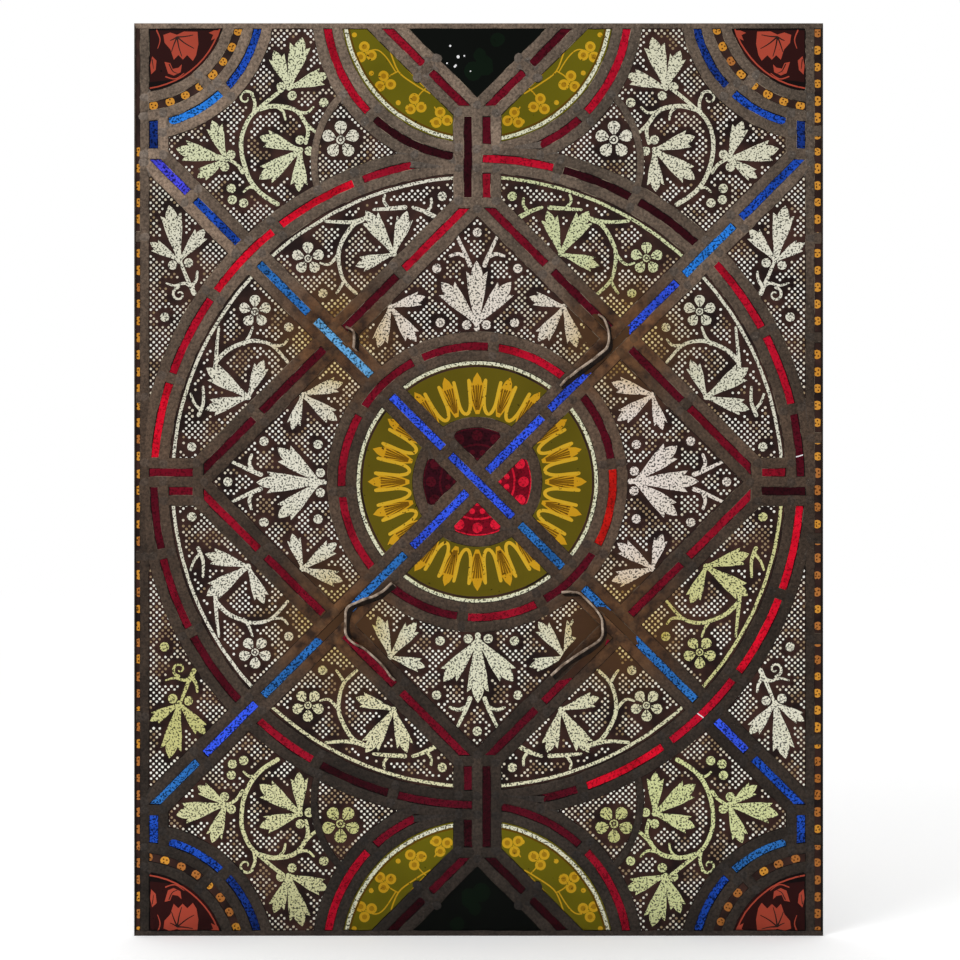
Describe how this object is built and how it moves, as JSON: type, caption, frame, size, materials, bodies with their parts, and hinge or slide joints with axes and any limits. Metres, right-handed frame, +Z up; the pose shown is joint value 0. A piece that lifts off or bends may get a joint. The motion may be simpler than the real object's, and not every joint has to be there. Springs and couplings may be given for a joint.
{
  "type": "stained glass window",
  "caption": "Upright leaded stained glass panel with painted grisaille leaves, a ruby ring, a diamond and blue diagonal bands, to be built into an opening or a frame.",
  "frame": {"origin": "middle of the bottom edge of the panel, halfway through its depth", "axes": "+Z up the panel, +X to the right seen from the front, front towards -Y"},
  "size_m": [0.61, 0.0126, 0.808],
  "materials": {
    "lead": "old lead came with grey-brown patina and rust-brown stains",
    "tie": "dark oxidised lead strip",
    "ruby_glass": "ruby pot glass, pebbled, from bright red to very dark",
    "blue_glass": "blue pot glass, pebbled, from sky blue to royal blue",
    "gold_glass": "olive glass with silver-stain gold and painted outlines",
    "olive_glass": "olive glass with amber painted berries",
    "grisaille_glass": "white glass painted black-brown round leaves and dots, with cream stipple",
    "rust_glass": "red-brown glass with a black-painted ground and veins",
    "green_glass": "nearly black green glass",
    "bead_glass": "amber glass beads left clear in a black-painted ground"
  },
  "bodies": {
    "root": {"bead_strips_left": "bead_glass", "bead_strips_right": "bead_glass", "blue_arm_lower_right": "blue_glass", "blue_arm_upper_left": "blue_glass", "blue_corner_lower_right": "blue_glass", "blue_corner_upper_left": "blue_glass", "blue_cross_bands": "blue_glass", "corner_disc_bottom_left": "rust_glass", "corner_disc_bottom_right": "rust_glass", "corner_disc_top_left": "rust_glass", "corner_disc_top_right": "rust_glass", "corner_grisaille_bottom_left": "grisaille_glass", "corner_grisaille_bottom_right": "grisaille_glass", "corner_grisaille_top_left": "grisaille_glass", "corner_grisaille_top_right": "grisaille_glass", "gold_sector_bottom": "gold_glass", "gold_sector_left": "gold_glass", "gold_sector_right": "gold_glass", "gold_sector_top": "gold_glass", "green_triangle_bottom": "green_glass", "green_triangle_top": "green_glass", "grisaille_bottom": "grisaille_glass", "grisaille_left": "grisaille_glass", "grisaille_right": "grisaille_glass", "grisaille_top": "grisaille_glass", "inner_ruby_lower_right": "ruby_glass", "inner_ruby_upper_left": "ruby_glass", "lead_cames": "lead", "lens_pane_bottom_left": "olive_glass", "lens_pane_bottom_right": "olive_glass", "lens_pane_top_left": "olive_glass", "lens_pane_top_right": "olive_glass", "rosette_triangle_bottom_left": "grisaille_glass", "rosette_triangle_bottom_right": "grisaille_glass", "rosette_triangle_top_left": "grisaille_glass", "rosette_triangle_top_right": "grisaille_glass", "ruby_bands_lower_right": "ruby_glass", "ruby_bands_upper_left": "ruby_glass", "ruby_sector_bottom": "ruby_glass", "ruby_sector_left": "ruby_glass", "ruby_sector_right": "ruby_glass", "ruby_sector_top": "ruby_glass", "segment_bottom_left_end": "grisaille_glass", "segment_bottom_left_side": "grisaille_glass", "segment_bottom_right_end": "grisaille_glass", "segment_bottom_right_side": "grisaille_glass", "segment_top_left_end": "grisaille_glass", "segment_top_left_side": "grisaille_glass", "segment_top_right_end": "grisaille_glass", "segment_top_right_side": "grisaille_glass", "side_triangle_bottom_left": "grisaille_glass", "side_triangle_bottom_right": "grisaille_glass", "side_triangle_top_left": "grisaille_glass", "side_triangle_top_right": "grisaille_glass", "tie_lower_left": "tie", "tie_lower_right": "tie", "tie_upper_left": "tie", "tie_upper_right": "tie"}
  },
  "joints": []
}
